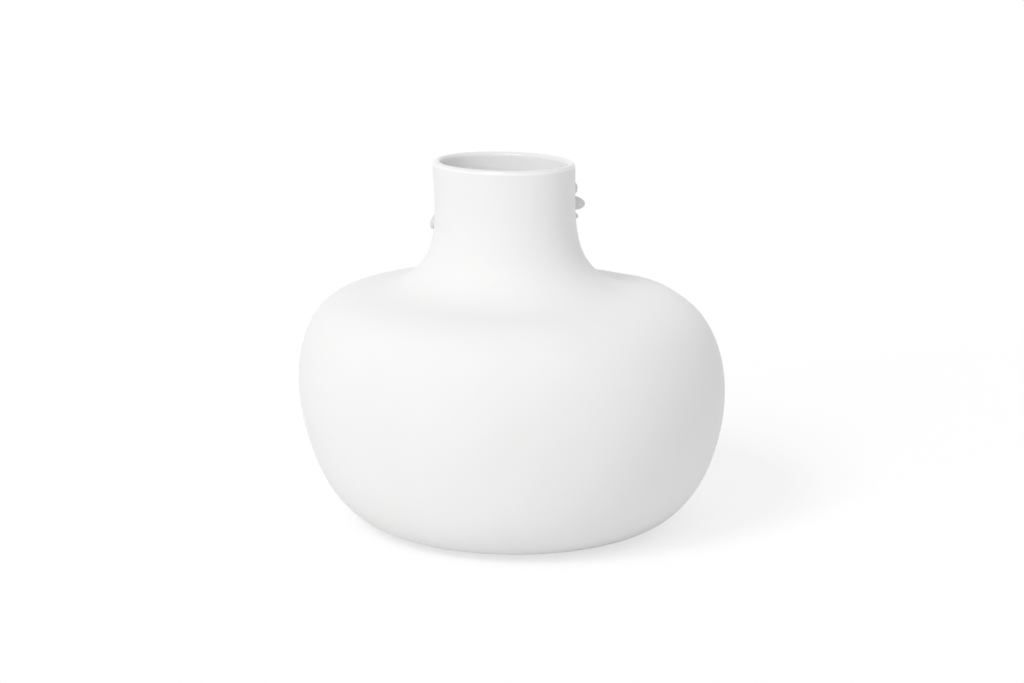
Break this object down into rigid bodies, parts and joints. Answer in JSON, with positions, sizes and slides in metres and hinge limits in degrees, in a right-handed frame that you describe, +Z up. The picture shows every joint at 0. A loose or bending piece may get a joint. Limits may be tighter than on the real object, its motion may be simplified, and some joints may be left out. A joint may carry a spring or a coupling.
{
  "type": "pillow vase",
  "caption": "Wide oval belly on a small foot ring, short oval neck with a rounded glazed lip and small applied lobes; holds flowers or water.",
  "frame": {"origin": "middle of the foot, at the height of the surface the vase stands on", "axes": "+Z up through the mouth, X along the long axis of the oval, Y along its short axis; the lobes on the neck are on its +Y side"},
  "size_m": [0.222, 0.1788, 0.1832],
  "materials": {
    "matte_porcelain": "unglazed matte bisque, smooth and even",
    "clear_glaze": "glossy clear glaze over white porcelain"
  },
  "bodies": {
    "root": {"vase_body": "matte_porcelain", "interior_glaze": "clear_glaze", "upper_lobe": "matte_porcelain", "middle_lobe": "matte_porcelain", "lower_lobe": "matte_porcelain", "left_lobe": "matte_porcelain"}
  },
  "joints": []
}
